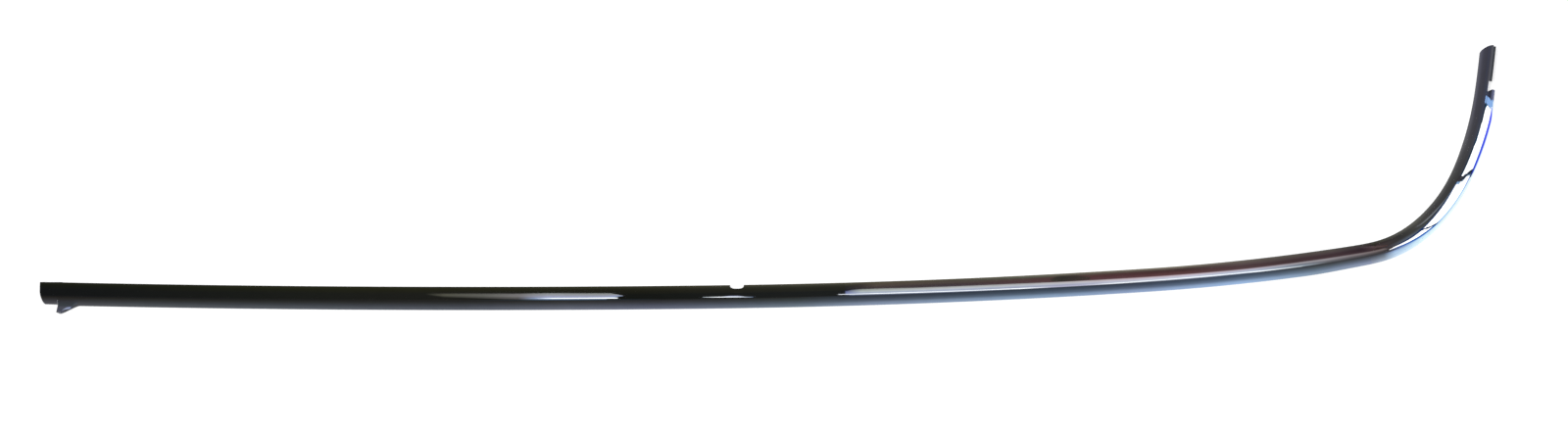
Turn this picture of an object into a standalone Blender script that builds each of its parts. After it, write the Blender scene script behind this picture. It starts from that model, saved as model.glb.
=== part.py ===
"""Car body side moulding: one long strip of thin bright sheet, roll formed into an open channel
and stretch bent up at one end.

It lies face up on its two return lips. X runs along the strip, Y across it, Z up.
"""

import math

import bmesh
import bpy
import numpy as np
from mathutils import Matrix, Vector

MM = 0.001

# Sheet and section, seen from the inner edge to the outer one, in mm
SHEET = 0.65
EDGE_RADIUS = 0.9
INNER_LIP = 2.4
OUTER_LIP = 3.8
FLANGE_WIDTH = 5.8
FLANGE_SLOPE = 7.0
SCOOP_RADIUS = 10.0
SCOOP_SLOPE = 34.0
CREST_RADIUS = 1.6
BEAD_RADIUS = 8.3
BEAD_SLOPE = 78.0

# The line of the inner edge, in mm: arcs that run into each other, each a length along the edge and a radius
START_HEADING = -1.3
BELT_LENGTH = 576.4
BELT_RADIUS = 16420.0
RISE_LENGTH = 374.5
RISE_RADIUS = 7060.0
SHOULDER_LENGTH = 187.5
SHOULDER_RADIUS = 1970.0
BEND_LENGTH = 42.0
BEND_RADIUS = 83.0
ELBOW_LENGTH = 61.0
ELBOW_RADIUS = 120.0
LEG_LENGTH = 70.0
LEG_RADIUS = 269.0
TIP_LENGTH = 39.4
TIP_RADIUS = 1170.0
EASING = 30.0

# The section narrows as it comes into the bend, and widens a little again along the leg
NARROW_BEFORE = 56.0
NARROW_OVER = 60.0
NARROW_SCALE = 0.915
WIDEN_BEFORE = 110.0
WIDEN_OVER = 50.0
LEG_SCALE = 0.95

# Left end, in mm along the inner edge and across it
END_ROUND_LENGTH = 5.2
END_ROUND_DEPTH = 11.6
FLARE_LENGTH = 21.0
FLARE_STEP = 2.5
FLARE = 0.5
FLARE_LEVEL = 0.6
DRAW_IN = 0.7
ROUNDING_POWER = 1.5

# The piece of the outer wall that is bent out near the left end
EAR_START = 15.7
EAR_PEAK = 19.7
EAR_END = 34.2
EAR_DEPTH = 7.0
EAR_CORNER_DEPTH = 5.8
EAR_SLIT = 0.4
EAR_SLOPE = 18.0
EAR_SLANT = 1.8

# The notch in the inner edge
NOTCH_AT = 597.3
NOTCH_WIDTH = 11.9
NOTCH_DEPTH = 3.1
NOTCH_CORNER_LENGTH = 4.5
NOTCH_CORNER_DEPTH = 2.3

# Right end: the bead stops short and leaves a tongue
TONGUE_LENGTH = 39.7
TONGUE_RELIEF = 8.9
TONGUE_RELIEF_DEPTH = 1.0
TONGUE_STRIP = 1.9
TONGUE_STRIP_SHORT = 1.0
TONGUE_ROUND_LENGTH = 8.4
TONGUE_ROUND_WIDTH = 10.4
NOSE_RISE = 2.4
NOSE_LEAN = 1.3
NOSE_LENGTH = 24.0
NOSE_DRAW_IN = 1.6
DOME_LENGTH = 5.0
DOME_DROP = 0.35

# Cutters stand clear of the strip by this much, in mm
CUTTER_CLEAR = 5.0
HALF_TURN = 180.0


def arc_chords(start, end, radius, count):
    """Chords of an arc of the section as (length, direction in degrees)."""
    step = (end - start) / count
    chord = 2 * radius * math.sin(math.radians(abs(step)) / 2)
    return [(chord, start + step * (i + 0.5)) for i in range(count)]


def section_chords():
    """Chords of the outer face, from the end of the inner lip to the end of the outer lip."""
    over = [(FLANGE_WIDTH / math.cos(math.radians(FLANGE_SLOPE)), FLANGE_SLOPE)]
    over += arc_chords(FLANGE_SLOPE, SCOOP_SLOPE, SCOOP_RADIUS, 3)
    over += arc_chords(SCOOP_SLOPE, 0, CREST_RADIUS, 2)
    over += arc_chords(0, -BEAD_SLOPE, BEAD_RADIUS, 6)
    over += arc_chords(-BEAD_SLOPE, -HALF_TURN, EDGE_RADIUS, 3)
    over += [(OUTER_LIP - EDGE_RADIUS, -HALF_TURN)]
    foot = [(INNER_LIP - EDGE_RADIUS, HALF_TURN)] + arc_chords(HALF_TURN, HALF_TURN / 2, EDGE_RADIUS, 2)
    shoulder = arc_chords(HALF_TURN / 2, FLANGE_SLOPE, EDGE_RADIUS, 2)
    rise = sum(length * math.sin(math.radians(way)) for length, way in foot + shoulder + over)
    return foot + [(-rise, HALF_TURN / 2)] + shoulder + over


CHORDS = section_chords()
EAR_FIRST = 14


def section(opened=0.0):
    """Points (across, height) of the outer face. Opened goes from 0, the closed wall and lip, to 1, bent out."""
    wall = min(1.0, 2 * opened)
    lip = max(0.0, 2 * opened - 1)
    points = [(INNER_LIP, 0.0)]
    for length, way in CHORDS:
        if way < -EAR_SLOPE:
            part = wall if way >= -BEAD_SLOPE else lip
            way = way + (-EAR_SLOPE - way) * part
        across, height = points[-1]
        points.append(
            (
                across + length * math.cos(math.radians(way)),
                height + length * math.sin(math.radians(way)),
            )
        )
    return points


def section_width():
    return max(across for across, height in section())


def ear_depth(station):
    """How far the ear reaches past the closed edge: most at its peak, less at its free corner, none at its end."""
    if station <= EAR_PEAK:
        t = (EAR_PEAK - station) / (EAR_PEAK - EAR_START)
        return EAR_DEPTH + (EAR_CORNER_DEPTH - EAR_DEPTH) * t
    t = (EAR_END - station) / (EAR_END - EAR_PEAK)
    return EAR_DEPTH * (t + (1 - math.cos(math.pi * t)) / 2) / 2


def opened_by(depth):
    """The opening at which the section reaches the depth past its closed edge, found by halving."""
    low, high = 0.0, 1.0
    for _ in range(30):
        middle = (low + high) / 2
        if max(across for across, height in section(middle)) < section_width() + depth:
            low = middle
        else:
            high = middle
    return high


ARCS = (
    (BELT_LENGTH, BELT_RADIUS),
    (RISE_LENGTH, RISE_RADIUS),
    (SHOULDER_LENGTH, SHOULDER_RADIUS),
    (BEND_LENGTH, BEND_RADIUS),
    (ELBOW_LENGTH, ELBOW_RADIUS),
    (LEG_LENGTH, LEG_RADIUS),
    (TIP_LENGTH, TIP_RADIUS),
)
BEND_START = BELT_LENGTH + RISE_LENGTH + SHOULDER_LENGTH
PATH_LENGTH = sum(length for length, radius in ARCS)


def path_table(step=0.25):
    """Stations, points and headings of the inner edge. Curvature is the arcs' own, averaged over the easing."""
    ends = np.cumsum([length for length, radius in ARCS])
    bends = np.array([1 / radius for length, radius in ARCS])
    reach = np.arange(-EASING, PATH_LENGTH + EASING + step, step)
    which = np.clip(np.searchsorted(ends, reach, side="right"), 0, len(ends) - 1)
    turned = np.concatenate([[0.0], np.cumsum(bends[which[:-1]] * step)])
    along = np.arange(0, PATH_LENGTH + step, step)
    bend = np.interp(along + EASING / 2, reach, turned) - np.interp(along - EASING / 2, reach, turned)
    bend = bend / EASING
    heading = math.radians(START_HEADING) + np.concatenate([[0], np.cumsum((bend[1:] + bend[:-1]) / 2 * step)])
    x = np.concatenate([[0], np.cumsum((np.cos(heading[1:]) + np.cos(heading[:-1])) / 2 * step)])
    y = np.concatenate([[0], np.cumsum((np.sin(heading[1:]) + np.sin(heading[:-1])) / 2 * step)])
    return along, x, y, heading


PATH = path_table()


def on_path(station):
    """Point and heading of the inner edge at a station."""
    along, x, y, heading = PATH
    return tuple(float(np.interp(station, along, line)) for line in (x, y, heading))


def ease(station, start, over):
    """Goes smoothly from 0 at a station to 1 further on."""
    t = min(1.0, max(0.0, (station - start) / over))
    return t * t * (3 - 2 * t)


def scale_at(station):
    """The section's size: full along the belt, least in the bend, a little more along the leg."""
    narrowed = (1 - NARROW_SCALE) * ease(station, BEND_START - NARROW_BEFORE, NARROW_OVER)
    widened = (LEG_SCALE - NARROW_SCALE) * ease(station, PATH_LENGTH - WIDEN_BEFORE, WIDEN_OVER)
    return 1 - narrowed + widened


def world(station, across, height, ahead=0.0):
    """A point of the moulding, by its place along and across the strip."""
    x, y, heading = on_path(station)
    across = across * scale_at(station)
    out = heading - math.pi / 2
    return Vector(
        (
            (x + across * math.cos(out) + ahead * math.cos(heading)) * MM,
            (y + across * math.sin(out) + ahead * math.sin(heading)) * MM,
            height * scale_at(station) * MM,
        )
    )


def stations():
    """Stations of the sections: close together at the ear and through the bend, far apart on the long belt."""
    slit = EAR_START - EAR_SLIT
    bend = BEND_START - EASING
    spans = ((0, slit, 2), (slit, EAR_START, 1), (EAR_START, EAR_PEAK, 2), (EAR_PEAK, EAR_END, 10))
    nose = PATH_LENGTH - TONGUE_LENGTH
    spans += ((EAR_END, bend, 30), (bend, nose - NOSE_LENGTH, 30), (nose - NOSE_LENGTH, nose - DOME_LENGTH, 4))
    spans += ((nose - DOME_LENGTH, nose + NOSE_RISE, 7), (nose + NOSE_RISE, PATH_LENGTH, 7))
    return [a + (b - a) * i / n for a, b, n in spans for i in range(n)] + [PATH_LENGTH]


def new_object(name, data, collection):
    obj = bpy.data.objects.new(name, data)
    collection.objects.link(obj)
    return obj


def poly_curve(name, points, collection, radii=None):
    """A curve of straight runs through the points."""
    curve = bpy.data.curves.new(name, "CURVE")
    curve.dimensions = "3D"
    curve.twist_mode = "Z_UP"
    spline = curve.splines.new("POLY")
    spline.points.add(len(points) - 1)
    for i, (spot, at) in enumerate(zip(spline.points, points)):
        spot.co = (*at, 1.0)
        spot.radius = radii[i] if radii else 1.0
    return new_object(name, curve, collection)


def sheet_face(collection, helpers):
    """The outer face as an open surface: the section swept along the inner edge."""
    at = stations()
    path = [world(s, 0, 0) for s in at]
    outline = [(across * MM, height * MM, 0.0) for across, height in section()]
    profile = poly_curve("section", outline, helpers)
    guide = poly_curve("inner_edge", path, helpers, [scale_at(s) for s in at])
    guide.data.bevel_mode = "OBJECT"
    guide.data.bevel_object = profile
    bpy.context.view_layer.update()
    swept = guide.evaluated_get(bpy.context.evaluated_depsgraph_get())
    mesh = bpy.data.meshes.new_from_object(swept)
    obj = new_object("moulding_strip", mesh, collection)
    obj.matrix_world = guide.matrix_world.copy()
    bpy.data.objects.remove(guide)
    bpy.data.objects.remove(profile)
    return obj, at


def end_shape(station, across, height):
    """The section's point near an end, as (across, height): edge knocked out, bead drawn in, nose domed."""
    crest = crest_across()
    beyond = max(0.0, across - crest) / (section_width() - crest)
    nose = PATH_LENGTH - TONGUE_LENGTH
    if across < INNER_LIP:
        across -= FLARE * (1 - ease(station, FLARE_LENGTH - FLARE_STEP, FLARE_STEP))
        across += FLARE_LEVEL * max(0.0, 1 - station / FLARE_LENGTH)
    if station < EAR_START:
        across -= DRAW_IN * beyond
    if station < nose + NOSE_RISE + 0.01:
        across -= NOSE_DRAW_IN * beyond * ease(station, nose - NOSE_LENGTH, NOSE_LENGTH)
        t = min(1.0, max(0.0, (station - nose + DOME_LENGTH) / (DOME_LENGTH + NOSE_RISE)))
        drop = DOME_DROP * min(1.0, 2 * beyond) * (1 - math.sqrt(1 - t * t))
        height -= drop * max(0.0, height - 2 * EDGE_RADIUS)
    return across, height


def shape_ends(obj, at):
    """Shapes the two ends of the swept section, and bends the ear out of the outer wall behind its slit."""
    shape = bmesh.new()
    shape.from_mesh(obj.data)
    shape.verts.ensure_lookup_table()
    rows = len(CHORDS) + 1
    slit = EAR_START - EAR_SLIT
    closed = section_width()
    torn = []
    for ring, station in enumerate(at):
        ear = section(opened_by(ear_depth(station)) if EAR_START - 0.01 < station < EAR_END else 0.0)
        for row, (across, height) in enumerate(section()):
            vert = shape.verts[ring * rows + row]
            vert.co = world(station, *end_shape(station, across, height))
            if EAR_START - 0.01 < station < EAR_END and row >= EAR_FIRST:
                across, height = ear[row]
                lean = -EAR_SLANT * max(0.0, across - closed) / EAR_DEPTH
                vert.co = world(station, across, height, lean)
    for face in shape.faces:
        numbers = [vert.index for vert in face.verts]
        first = min(numbers)
        if abs(at[first // rows] - slit) < 0.01 and first % rows >= EAR_FIRST:
            torn.append(face)
    bmesh.ops.delete(shape, geom=torn, context="FACES")
    bmesh.ops.recalc_face_normals(shape, faces=shape.faces)
    highest = max(shape.faces, key=lambda face: face.calc_center_median().z)
    if highest.normal.z < 0:
        bmesh.ops.reverse_faces(shape, faces=shape.faces)
    shape.to_mesh(obj.data)
    shape.free()


def prism(name, outline, helpers):
    """A cutter: an outline in world X and Y, closed and made into a block taller than the strip."""
    shape = bmesh.new()
    top = 2 * CUTTER_CLEAR + max(height for across, height in section())
    base = [shape.verts.new((point.x, point.y, -CUTTER_CLEAR * MM)) for point in outline]
    face = shape.faces.new(base)
    moved = bmesh.ops.extrude_face_region(shape, geom=[face])["geom"]
    lifted = [part for part in moved if isinstance(part, bmesh.types.BMVert)]
    bmesh.ops.translate(shape, verts=lifted, vec=Vector((0, 0, top * MM)))
    bmesh.ops.recalc_face_normals(shape, faces=shape.faces)
    mesh = bpy.data.meshes.new(name)
    shape.to_mesh(mesh)
    shape.free()
    obj = new_object(name, mesh, helpers)
    obj.hide_render = True
    obj.display_type = "WIRE"
    return obj


def flat(station, ahead, across):
    """A point given straight ahead of a station and across, at true size."""
    return world(station, across / scale_at(station), 0.0, ahead)


def rounding(length, width, count):
    """A corner cut round, as (along, across) from its first side to its second, fuller than a straight cut."""
    turn = [math.pi / 2 * i / count for i in range(count + 1)]
    power = 2 / ROUNDING_POWER
    return [(length * (1 - math.cos(a) ** power), width * math.sin(a) ** power) for a in turn]


def left_end_cutter(helpers):
    """Takes the outer corner off the left end."""
    width = section_width() - DRAW_IN
    start = width - END_ROUND_DEPTH
    curve = [(along, start + across) for along, across in rounding(END_ROUND_LENGTH, END_ROUND_DEPTH, 10)]
    side = width + CUTTER_CLEAR
    outline = [(-CUTTER_CLEAR, start)] + curve + [(END_ROUND_LENGTH, side), (-CUTTER_CLEAR, side)]
    return prism("left_end_cutter", [flat(0, a, b) for a, b in outline], helpers)


def notch_cutter(helpers):
    """A slot with round inner corners, open towards the inner edge."""
    half = NOTCH_WIDTH / 2
    turn = [math.pi / 2 * i / 4 for i in range(5)]
    right = [
        (half - NOTCH_CORNER_LENGTH * (1 - math.cos(a)), NOTCH_DEPTH - NOTCH_CORNER_DEPTH * (1 - math.sin(a)))
        for a in turn
    ]
    left = [(-x, y) for x, y in reversed(right)]
    outline = [(half, -CUTTER_CLEAR)] + right + left + [(-half, -CUTTER_CLEAR)]
    return prism("notch_cutter", [flat(NOTCH_AT, a, b) for a, b in outline], helpers)


def crest_across():
    """Where the crest stands, across from the inner edge."""
    return max(section(), key=lambda point: point[1])[0]


def bead_end_cutter(helpers):
    """Takes the bead off beyond its rounded nose, and leaves a narrow strip of it on the tongue."""
    nose = PATH_LENGTH - TONGUE_LENGTH
    crest = crest_across() * LEG_SCALE
    crease = crest - TONGUE_RELIEF_DEPTH
    width = section_width() * LEG_SCALE
    part = [i / 10 for i in range(11)]
    round_nose = [(NOSE_RISE * math.sin(math.pi * t**NOSE_LEAN), crease + (width - crease) * t) for t in part]
    strip = crest + TONGUE_STRIP
    strip_end = TONGUE_LENGTH - TONGUE_STRIP_SHORT
    ahead = [TONGUE_RELIEF + (strip_end - TONGUE_RELIEF) * i / 6 for i in range(7)]
    edge = [(strip_end, crest)] + [(a, strip) for a in reversed(ahead)]
    side = width + CUTTER_CLEAR
    end = TONGUE_LENGTH + CUTTER_CLEAR
    outline = round_nose + [(0, side), (end, side), (end, crest)] + edge + [(TONGUE_RELIEF, crease)]
    return prism("bead_end_cutter", [tilted(nose, a, b) for a, b in outline], helpers)


def tilted(station, ahead, across):
    """A point by true distances that follow the bent path ahead of a station."""
    at = station + ahead
    if at <= PATH_LENGTH:
        return flat(at, 0.0, across)
    return flat(PATH_LENGTH, at - PATH_LENGTH, across)


def tongue_end_cutter(helpers):
    """Rounds the inner corner of the tongue's end."""
    corner = rounding(TONGUE_ROUND_LENGTH, TONGUE_ROUND_WIDTH, 8)
    curve = [(-along, TONGUE_ROUND_WIDTH - across) for along, across in corner]
    outline = [(CUTTER_CLEAR, TONGUE_ROUND_WIDTH)] + curve
    outline += [(-TONGUE_ROUND_LENGTH, -CUTTER_CLEAR), (CUTTER_CLEAR, -CUTTER_CLEAR)]
    return prism("tongue_end_cutter", [tilted(PATH_LENGTH, a, b) for a, b in outline], helpers)


def bright_metal():
    """Polished bright sheet."""
    metal = bpy.data.materials.new("polished_sheet")
    metal.use_nodes = True
    shader = metal.node_tree.nodes["Principled BSDF"]
    shader.inputs["Base Color"].default_value = (0.62, 0.63, 0.65, 1.0)
    shader.inputs["Metallic"].default_value = 1.0
    shader.inputs["Roughness"].default_value = 0.08
    metal.diffuse_color = (0.62, 0.63, 0.65, 1.0)
    return metal


def apply_modifiers(obj):
    """Makes the evaluated shape the object's own mesh."""
    bpy.context.view_layer.update()
    made = bpy.data.meshes.new_from_object(obj.evaluated_get(bpy.context.evaluated_depsgraph_get()))
    obj.modifiers.clear()
    obj.data = made


def centre_on_floor(obj):
    """Puts the middle of the strip's own box over the origin, with its lowest point at height 0."""
    points = [vert.co for vert in obj.data.vertices]
    low = Vector([min(point[i] for point in points) for i in range(3)])
    high = Vector([max(point[i] for point in points) for i in range(3)])
    middle = (low + high) / 2
    obj.data.transform(Matrix.Translation((-middle.x, -middle.y, -low.z)))


def main():
    for obj in list(bpy.data.objects):
        bpy.data.objects.remove(obj)
    collection = bpy.data.collections.new("body_side_moulding")
    helpers = bpy.data.collections.new("cutters")
    bpy.context.scene.collection.children.link(collection)
    bpy.context.scene.collection.children.link(helpers)
    strip, at = sheet_face(collection, helpers)
    shape_ends(strip, at)
    sheet = strip.modifiers.new("sheet", "SOLIDIFY")
    sheet.thickness = SHEET * MM
    sheet.offset = -1.0
    sheet.use_even_offset = True
    sheet.use_quality_normals = True
    for cutter in (
        left_end_cutter(helpers),
        notch_cutter(helpers),
        bead_end_cutter(helpers),
        tongue_end_cutter(helpers),
    ):
        cut = strip.modifiers.new(cutter.name, "BOOLEAN")
        cut.operation = "DIFFERENCE"
        cut.solver = "EXACT"
        cut.object = cutter
    apply_modifiers(strip)
    centre_on_floor(strip)
    strip.data.materials.clear()
    strip.data.materials.append(bright_metal())
    strip.data.shade_smooth()
    helpers.hide_render = True


main()
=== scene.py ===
"""Looks of a car body side moulding: a long bright strip of thin sheet on a pale floor, seen from above.

The strip is a smooth surface worked out from two numbers, the station along its inner edge and the place across its
section. The stage is a pale floor with glowing panels that only the bright metal mirrors: painted reflections.
"""

import functools
import math
from typing import NamedTuple

import bpy
import numpy as np
from bpy.props import FloatProperty, FloatVectorProperty, PointerProperty
from mathutils import Matrix


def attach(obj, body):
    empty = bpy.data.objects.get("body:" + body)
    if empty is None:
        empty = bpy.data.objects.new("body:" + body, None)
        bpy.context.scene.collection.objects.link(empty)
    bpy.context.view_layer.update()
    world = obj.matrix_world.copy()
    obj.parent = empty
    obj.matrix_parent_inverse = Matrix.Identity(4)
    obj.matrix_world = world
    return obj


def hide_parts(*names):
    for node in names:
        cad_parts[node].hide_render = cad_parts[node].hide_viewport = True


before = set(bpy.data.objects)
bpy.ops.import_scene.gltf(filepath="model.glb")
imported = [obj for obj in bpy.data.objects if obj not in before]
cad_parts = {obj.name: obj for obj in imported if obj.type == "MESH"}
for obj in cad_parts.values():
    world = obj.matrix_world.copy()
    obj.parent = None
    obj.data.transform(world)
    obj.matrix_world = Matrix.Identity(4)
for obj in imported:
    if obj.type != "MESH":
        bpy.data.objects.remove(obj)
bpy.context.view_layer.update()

bl_info = {
    "name": "Side moulding",
    "version": (1, 0, 0),
    "blender": (4, 5, 0),
    "location": "3D View > Sidebar > Moulding",
    "description": "Makes a bright car body side moulding and the stage it lies on",
    "category": "Object",
}

NODE = "moulding_strip"


def length(name, description, default):
    return FloatProperty(name=name, description=description, default=default, unit="LENGTH", precision=5)


def angle(name, description, degrees):
    return FloatProperty(name=name, description=description, default=math.radians(degrees), subtype="ANGLE")


def share(name, description, default):
    return FloatProperty(name=name, description=description, default=default, min=0.0, max=1.0, subtype="FACTOR")


def colour(name, description, default):
    return FloatVectorProperty(name=name, description=description, default=default, subtype="COLOR", min=0.0)


class SectionSizes(bpy.types.PropertyGroup):
    """The sheet and its section, from the inner edge to the outer one."""

    sheet: length("PaintedReflection", "Thickness of the sheet", 0.00065)
    edge_radius: length("Edge radius", "Radius of both folded edges", 0.0009)
    inner_lip: length("Inner lip", "Width of the lip folded under the inner edge", 0.0024)
    outer_lip: length("Outer lip", "Width of the lip folded under the outer edge", 0.0038)
    flange_width: length("Flange width", "Width of the flat flange", 0.00595)
    flange_slope: angle("Flange slope", "Slope of the flat flange", 6.5)
    flange_camber: angle("Flange camber", "How much flatter and steeper the flange is at its two sides", 2.5)
    scoop_radius: length("Scoop radius", "Radius of the hollow between flange and crest", 0.01135)
    scoop_slope: angle("Scoop slope", "Slope where the hollow meets the crest", 34.0)
    crest_radius: length("Crest radius", "Radius of the crest on its inner side", 0.0009)
    bead_radius: length("Bead radius", "Radius of the round bead", 0.0083)
    bead_slope: angle("Bead slope", "Slope of the bead where it meets the outer edge", 78.0)


class PathSizes(bpy.types.PropertyGroup):
    """The line of the inner edge: arcs that run into each other."""

    start_heading: angle("Start heading", "Direction of the inner edge at the left end", -1.3)
    belt_length: length("Belt length", "Length of the first arc", 0.5764)
    belt_radius: length("Belt radius", "Radius of the first arc", 16.42)
    rise_length: length("Rise length", "Length of the second arc", 0.3745)
    rise_radius: length("Rise radius", "Radius of the second arc", 7.06)
    shoulder_length: length("Shoulder length", "Length of the third arc", 0.1875)
    shoulder_radius: length("Shoulder radius", "Radius of the third arc", 1.97)
    bend_length: length("Bend length", "Length of the tight bend", 0.042)
    bend_radius: length("Bend radius", "Radius of the tight bend", 0.083)
    elbow_length: length("Elbow length", "Length of the arc after the bend", 0.061)
    elbow_radius: length("Elbow radius", "Radius of the arc after the bend", 0.12)
    leg_length: length("Leg length", "Length of the leg's arc", 0.070)
    leg_radius: length("Leg radius", "Radius of the leg's arc", 0.269)
    tip_length: length("Tip length", "Length of the last arc", 0.0394)
    tip_radius: length("Tip radius", "Radius of the last arc", 1.17)
    easing: length("Easing", "Length over which one arc runs into the next", 0.030)
    narrow_before: length("Narrowing start", "How far before the bend the section starts to narrow", 0.056)
    narrow_over: length("Narrowing length", "Length over which the section narrows", 0.060)
    narrow_scale: share("Narrow scale", "Size of the section in the bend", 0.915)
    widen_before: length("Widening start", "How far before the tip the section starts to widen", 0.110)
    widen_over: length("Widening length", "Length over which the section widens", 0.050)
    leg_scale: share("Leg scale", "Size of the section along the leg", 0.95)


class EndSizes(bpy.types.PropertyGroup):
    """The two ends, the bent ear and the notch."""

    end_round_length: length("End rounding length", "How far the left end's corner is taken back", 0.0052)
    end_round_depth: length("End rounding depth", "How deep across the left end's corner goes", 0.0116)
    flare_length: length("Flare length", "Length of the flared piece of the inner edge", 0.021)
    flare_step: length("Flare step", "Length over which the flare ends", 0.0025)
    flare: length("Flare", "How far the inner edge is flared out", 0.0005)
    flare_level: length("Flare levelling", "How far the flare leans in at the left end", 0.0006)
    draw_in: length("Draw-in", "How far the bead is drawn in at the left end", 0.0007)
    rounding_power: FloatProperty(name="Rounding power", description="Fullness of the rounded corners", default=1.5)
    ear_start: length("Ear start", "Station of the ear's free edge", 0.0157)
    ear_peak: length("Ear peak", "Station where the ear reaches out most", 0.0197)
    ear_end: length("Ear end", "Station where the ear runs out", 0.0342)
    ear_depth: length("Ear depth", "How far the ear reaches out", 0.007)
    ear_corner_depth: length("Ear corner depth", "How far the ear's free corner reaches out", 0.0058)
    ear_slit: length("Ear slit", "Width of the slit that frees the ear", 0.0004)
    ear_slope: angle("Ear slope", "Slope of the ear where it is bent out flat", 18.0)
    ear_root: angle("Ear root", "Slope of the bead where the slit ends", 26.0)
    ear_slant: length("Ear slant", "How far the ear's free edge leans back", 0.0018)
    notch_at: length("Notch station", "Station of the notch", 0.5973)
    notch_width: length("Notch width", "Width of the notch", 0.0119)
    notch_depth: length("Notch depth", "Depth of the notch", 0.0031)
    notch_corner_length: length("Notch corner length", "Length of the notch's round corners", 0.0045)
    notch_corner_depth: length("Notch corner depth", "Depth of the notch's round corners", 0.0023)
    tongue_length: length("Tongue length", "How far the tongue reaches past the bead's nose", 0.0397)
    tongue_relief: length("Relief length", "Length of the gap after the bead's nose", 0.0089)
    tongue_relief_depth: length("Relief depth", "How far the gap goes inside the crest", 0.001)
    tongue_strip: length("Strip width", "Width of the bead left on the tongue", 0.0019)
    tongue_strip_short: length("Strip end", "How much sooner the strip ends than the tongue", 0.001)
    tongue_round_length: length("Tongue rounding length", "Length of the tongue's rounded corner", 0.0084)
    tongue_round_width: length("Tongue rounding width", "Width of the tongue's rounded corner", 0.0104)
    nose_rise: length("Nose rise", "How far the bead's nose is rounded forward", 0.0024)
    nose_lean: FloatProperty(name="Nose lean", description="How far the nose leans outward", default=1.3)
    nose_length: length("Nose length", "Length over which the bead is drawn in", 0.024)
    nose_draw_in: length("Nose draw-in", "How far the bead is drawn in at its nose", 0.0016)
    dome_length: length("Dome length", "Length over which the nose closes down", 0.005)
    dome_drop: share("Dome drop", "How much lower the bead is at its nose", 0.35)


class FinishSettings(bpy.types.PropertyGroup):
    """The bright metal."""

    metal: colour("Metal", "Colour of the polished sheet", (0.66, 0.67, 0.70))
    roughness: share("Roughness", "Roughness of the polished sheet", 0.045)
    waves: length("Waves", "Height of the slow waves that rolling leaves", 0.00002)


class StageSettings(bpy.types.PropertyGroup):
    """The floor, the light and the camera."""

    camera_height: length("Camera height", "Height of the camera over the floor", 9.0)
    picture_width: length("Picture width", "Width that the picture shows", 1.344)
    picture_height: length("Picture height", "Height over the floor where the picture is that wide", 0.004)
    picture_x: length("Picture middle x", "Where the picture's middle is, along X", 0.0139)
    picture_y: length("Picture middle y", "Where the picture's middle is, along Y", -0.0318)
    floor: colour("Floor", "Colour of the floor", (0.86, 0.86, 0.86))
    floor_half: length("Floor half size", "Half the side of the square floor", 15.0)
    floor_gap: length("Floor gap", "How far the floor is under the strip", 0.0001)
    floor_glow: FloatProperty(name="Floor glow", description="Light the camera and mirrors see in it", default=0.38)
    lamp: FloatProperty(name="Lamp", description="Power of the overhead lamp, in watts", default=66.0)
    lamp_length: length("Lamp length", "Length of the overhead lamp", 3.0)
    lamp_width: length("Lamp width", "Width of the overhead lamp", 2.0)
    lamp_place: FloatVectorProperty(name="Lamp place", description="Where the lamp is", default=(-0.4, 0.5, 3.2))
    sky: FloatProperty(name="Sky", description="Strength of the surrounding light", default=0.45)


def settings(context):
    """The four groups of values kept with the scene."""
    scene = context.scene
    return scene.moulding_section, scene.moulding_path, scene.moulding_ends, scene.moulding_finish


def section_knots(size):
    """Arc length and direction at the ends of the section's runs.

    A straight run keeps its direction, and an arc turns evenly, with a length of its radius times the angle. The wall
    at the inner edge is as long as it takes for the outer lip to end at the height of the inner one.
    """
    quarter = math.pi / 2
    edge, flange, scoop, bead = size.edge_radius, size.flange_slope, size.scoop_slope, size.bead_slope
    slopes = [2 * quarter, 2 * quarter, quarter, quarter, flange - size.flange_camber, flange + size.flange_camber]
    slopes += [scoop, 0.0, -bead, -2 * quarter, -2 * quarter]
    turns = np.abs(np.diff(slopes))
    radii = [0, edge, 0, edge, 0, size.scoop_radius, size.crest_radius, size.bead_radius, edge, 0]
    runs = np.array(radii) * turns
    runs[0] = size.inner_lip - edge
    runs[4] = size.flange_width / math.cos(flange)
    runs[9] = size.outer_lip - edge
    across, height = walk(np.concatenate([[0], np.cumsum(runs)]), np.array(slopes), size.inner_lip)[1:3]
    runs[2] = -height[-1]
    return np.concatenate([[0], np.cumsum(runs)]), np.array(slopes)


def walk(knots, slopes, start, count=6000):
    """Points reached by walking from (start, 0) in the directions that the knots give, as sums of small steps.

    The direction turns evenly from knot to knot. Each step goes along by its length times the cosine of the direction
    halfway, and up by its length times the sine.
    """
    along = np.linspace(0, knots[-1], count)
    way = np.interp(along, knots, slopes)
    step = np.diff(along)
    middle = (way[1:] + way[:-1]) / 2
    across = start + np.concatenate([[0], np.cumsum(np.cos(middle) * step)])
    height = np.concatenate([[0], np.cumsum(np.sin(middle) * step)])
    return along, across, height, way


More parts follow.
